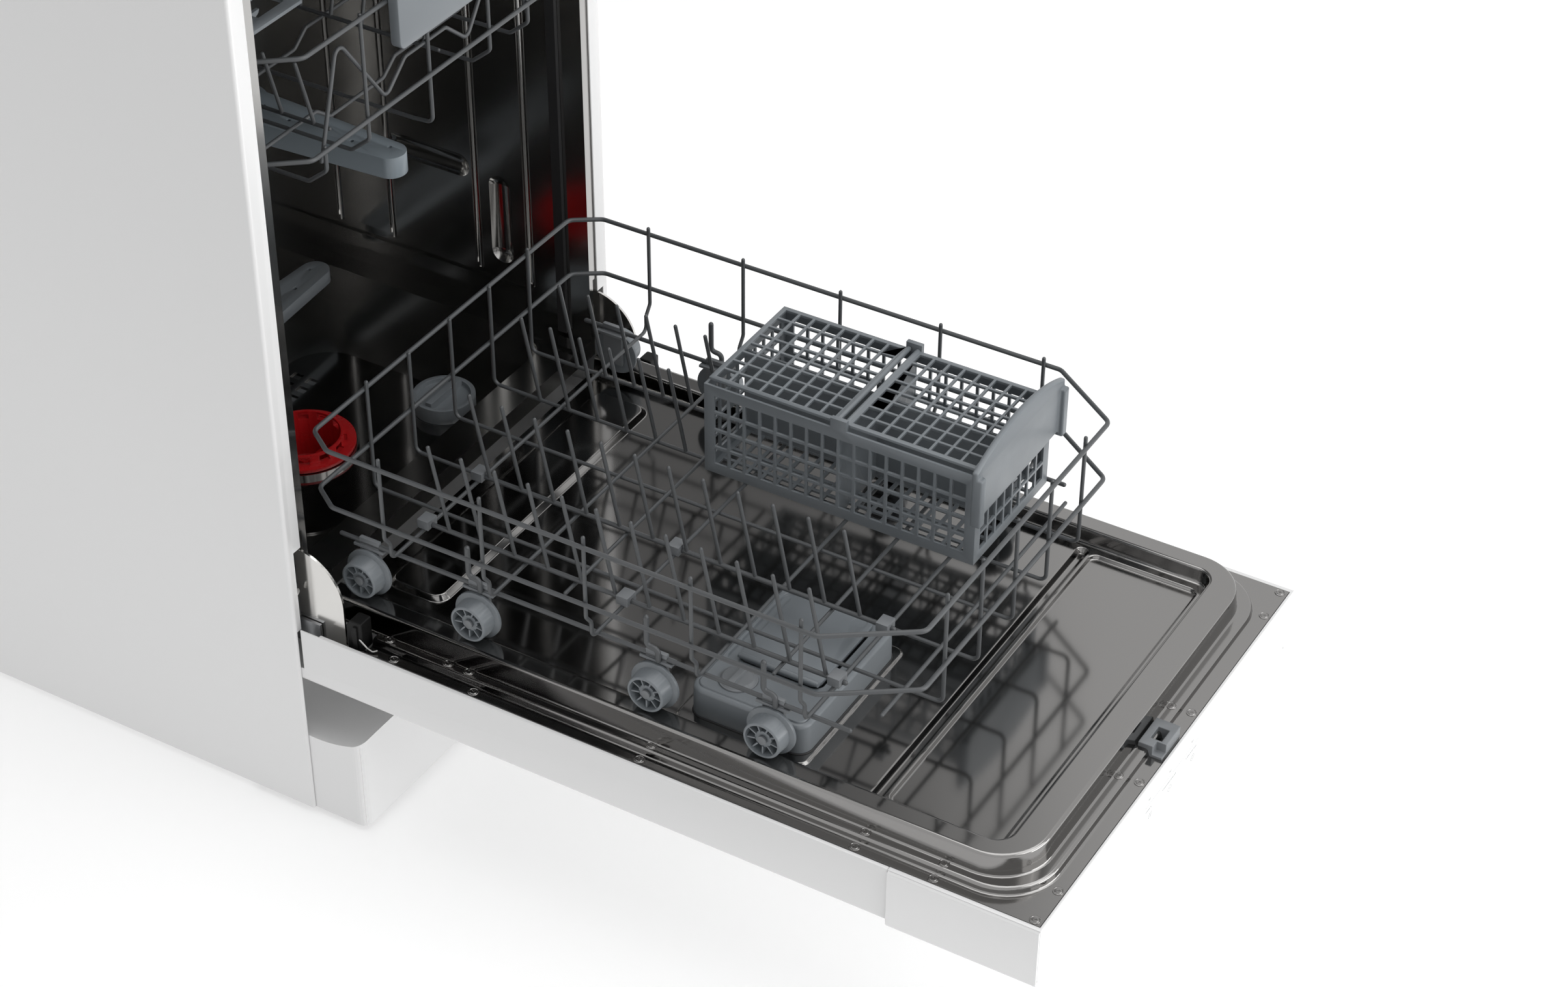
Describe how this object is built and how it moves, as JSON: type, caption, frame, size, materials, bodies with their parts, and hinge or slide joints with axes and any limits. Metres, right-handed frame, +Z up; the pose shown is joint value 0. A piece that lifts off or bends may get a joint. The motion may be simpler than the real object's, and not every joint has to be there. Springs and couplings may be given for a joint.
{
  "type": "freestanding slimline dishwasher",
  "caption": "Slimline dishwasher with its door open: white cabinet, steel tub and liner, wheeled lower rack with cutlery basket on the door, sliding upper rack, spray arms and filter.",
  "frame": {"origin": "on the floor, in the middle of the footprint with the door open", "axes": "+X to the right seen from the front, +Y to the back, +Z up"},
  "size_m": [0.448, 1.2312, 0.85],
  "materials": {
    "white_paint": "gloss",
    "white_plastic": "gloss",
    "galvanised": "satin",
    "stainless": "polished",
    "polished_plate": "polished",
    "rubber": "matte",
    "dark_plastic": "matte",
    "blue_grey_plastic": "satin",
    "light_blue_plastic": "satin",
    "grey_plastic": "satin",
    "wire_coating": "satin",
    "red_plastic": "gloss",
    "pump_metal": "satin"
  },
  "bodies": {
    "cabinet": {"side_panel_left": "white_paint", "side_panel_right": "white_paint", "worktop": "white_plastic", "back_panel": "galvanised", "base_tray": "dark_plastic", "plinth": "white_plastic", "levelling_feet": "dark_plastic", "tub": "stainless", "tub_gasket": "rubber", "sump": "dark_plastic", "wash_pump": "pump_metal", "drain_pump": "dark_plastic", "inlet_valve": "white_plastic", "drain_spigot": "dark_plastic", "cord_gland": "rubber", "filter_sheet": "stainless", "feed_pipe": "blue_grey_plastic", "rack_rails": "galvanised", "hinge_brackets": "galvanised", "hinge_springs": "galvanised", "latch_strike": "galvanised"},
    "lower_arm": {"lower_spray_arm": "blue_grey_plastic"},
    "filter": {"filter_cup": "red_plastic"},
    "salt_lid": {"salt_cap": "blue_grey_plastic"},
    "door": {"door_panel": "white_paint", "door_liner": "stainless", "console": "white_plastic", "dispenser": "blue_grey_plastic", "door_latch": "grey_plastic", "hinge_arms": "polished_plate"},
    "power_key": {"power_button": "grey_plastic"},
    "start_key": {"start_button": "grey_plastic"},
    "detergent_lid": {"dispenser_lid": "blue_grey_plastic"},
    "rinse_lid": {"rinse_cap": "grey_plastic"},
    "lower_rack": {"lower_rack_floor": "wire_coating", "lower_rack_sides": "wire_coating", "lower_rack_ends": "wire_coating", "tine_clips": "grey_plastic", "wheel_carriers": "grey_plastic"},
    "tines_outer": {"tine_row_outer": "wire_coating"},
    "tines_inner": {"tine_row_inner": "wire_coating"},
    "basket": {"cutlery_basket": "blue_grey_plastic", "basket_handle": "blue_grey_plastic"},
    "front_lid": {"basket_lid_front": "blue_grey_plastic"},
    "back_lid": {"basket_lid_back": "blue_grey_plastic"},
    "upper_rack": {"upper_rack": "wire_coating", "upper_tines": "wire_coating", "upper_handle": "blue_grey_plastic", "rack_rollers": "grey_plastic", "upper_feed_tube": "blue_grey_plastic"},
    "shelf": {"cup_shelf": "blue_grey_plastic"},
    "upper_arm": {"upper_spray_arm": "light_blue_plastic"},
    "wheel_body_1": {"wheel_1": "blue_grey_plastic"},
    "wheel_body_2": {"wheel_2": "blue_grey_plastic"},
    "wheel_body_3": {"wheel_3": "blue_grey_plastic"},
    "wheel_body_4": {"wheel_4": "blue_grey_plastic"},
    "wheel_body_5": {"wheel_5": "blue_grey_plastic"},
    "wheel_body_6": {"wheel_6": "blue_grey_plastic"},
    "wheel_body_7": {"wheel_7": "blue_grey_plastic"},
    "wheel_body_8": {"wheel_8": "blue_grey_plastic"}
  },
  "joints": [
    {"name": "door_hinge", "type": "hinge", "parent": "cabinet", "child": "door", "pos_m": [0, 0.024, 0.186], "axis": [-1, 0, 0], "range_deg": [0, 15]},
    {"name": "lower_rack_travel", "type": "slide", "parent": "door", "child": "lower_rack", "axis": [0, -1, 0], "range_m": [-0.505, 0]},
    {"name": "upper_rack_travel", "type": "slide", "parent": "cabinet", "child": "upper_rack", "axis": [0, 1, 0], "range_m": [-0.38, 0.02]},
    {"name": "lower_arm_spin", "type": "hinge", "parent": "cabinet", "child": "lower_arm", "pos_m": [0, 0.292, 0.222], "axis": [0, 0, 1], "continuous": true},
    {"name": "upper_arm_spin", "type": "hinge", "parent": "upper_rack", "child": "upper_arm", "pos_m": [0, 0.23, 0.485], "axis": [0, 0, 1], "continuous": true},
    {"name": "filter_turn", "type": "hinge", "parent": "cabinet", "child": "filter", "pos_m": [-0.014, 0.182, 0.184], "axis": [0, 0, 1], "range_deg": [0, 45]},
    {"name": "salt_turn", "type": "hinge", "parent": "cabinet", "child": "salt_lid", "pos_m": [0.096, 0.116, 0.184], "axis": [0, 0, 1], "range_deg": [0, 270]},
    {"name": "power_press", "type": "slide", "parent": "door", "child": "power_key", "axis": [0, 0, 1], "range_m": [0, 0.002], "stiffness_N_per_m": 300},
    {"name": "start_press", "type": "slide", "parent": "door", "child": "start_key", "axis": [0, 0, 1], "range_m": [0, 0.002], "stiffness_N_per_m": 300},
    {"name": "detergent_lid_swing", "type": "hinge", "parent": "door", "child": "detergent_lid", "pos_m": [-0.115, 0.03, 0.2344], "axis": [0, -1, 0], "range_deg": [0, 12]},
    {"name": "rinse_turn", "type": "hinge", "parent": "door", "child": "rinse_lid", "pos_m": [-0.139, -0.32, 0.23], "axis": [0, 0, 1], "range_deg": [0, 90]},
    {"name": "outer_tines_fold", "type": "hinge", "parent": "lower_rack", "child": "tines_outer", "pos_m": [-0.134, -0.21, 0.2645], "axis": [0, 1, 0], "range_deg": [0, 70]},
    {"name": "inner_tines_fold", "type": "hinge", "parent": "lower_rack", "child": "tines_inner", "pos_m": [-0.062, -0.21, 0.2645], "axis": [0, -1, 0], "range_deg": [0, 70]},
    {"name": "basket_lift", "type": "slide", "parent": "lower_rack", "child": "basket", "axis": [0, 0, 1], "range_m": [0, 0.2]},
    {"name": "front_lid_swing", "type": "hinge", "parent": "basket", "child": "front_lid", "pos_m": [0.1, -0.306, 0.349], "axis": [-1, 0, 0], "range_deg": [0, 85]},
    {"name": "back_lid_swing", "type": "hinge", "parent": "basket", "child": "back_lid", "pos_m": [0.1, -0.298, 0.349], "axis": [1, 0, 0], "range_deg": [0, 85]},
    {"name": "shelf_fold", "type": "hinge", "parent": "upper_rack", "child": "shelf", "pos_m": [-0.176, 0.185, 0.65915], "axis": [0, -1, 0], "range_deg": [0, 80]},
    {"name": "wheel_1_spin", "type": "hinge", "parent": "lower_rack", "child": "wheel_body_1", "pos_m": [-0.182, -0.37, 0.2333], "axis": [1, 0, 0], "continuous": true},
    {"name": "wheel_2_spin", "type": "hinge", "parent": "lower_rack", "child": "wheel_body_2", "pos_m": [0.182, -0.37, 0.2333], "axis": [1, 0, 0], "continuous": true},
    {"name": "wheel_3_spin", "type": "hinge", "parent": "lower_rack", "child": "wheel_body_3", "pos_m": [-0.182, -0.27, 0.2333], "axis": [1, 0, 0], "continuous": true},
    {"name": "wheel_4_spin", "type": "hinge", "parent": "lower_rack", "child": "wheel_body_4", "pos_m": [0.182, -0.27, 0.2333], "axis": [1, 0, 0], "continuous": true},
    {"name": "wheel_5_spin", "type": "hinge", "parent": "lower_rack", "child": "wheel_body_5", "pos_m": [-0.182, -0.111, 0.2333], "axis": [1, 0, 0], "continuous": true},
    {"name": "wheel_6_spin", "type": "hinge", "parent": "lower_rack", "child": "wheel_body_6", "pos_m": [0.182, -0.111, 0.2333], "axis": [1, 0, 0], "continuous": true},
    {"name": "wheel_7_spin", "type": "hinge", "parent": "lower_rack", "child": "wheel_body_7", "pos_m": [-0.182, -0.009, 0.2333], "axis": [1, 0, 0], "continuous": true},
    {"name": "wheel_8_spin", "type": "hinge", "parent": "lower_rack", "child": "wheel_body_8", "pos_m": [0.182, -0.009, 0.2333], "axis": [1, 0, 0], "continuous": true}
  ]
}
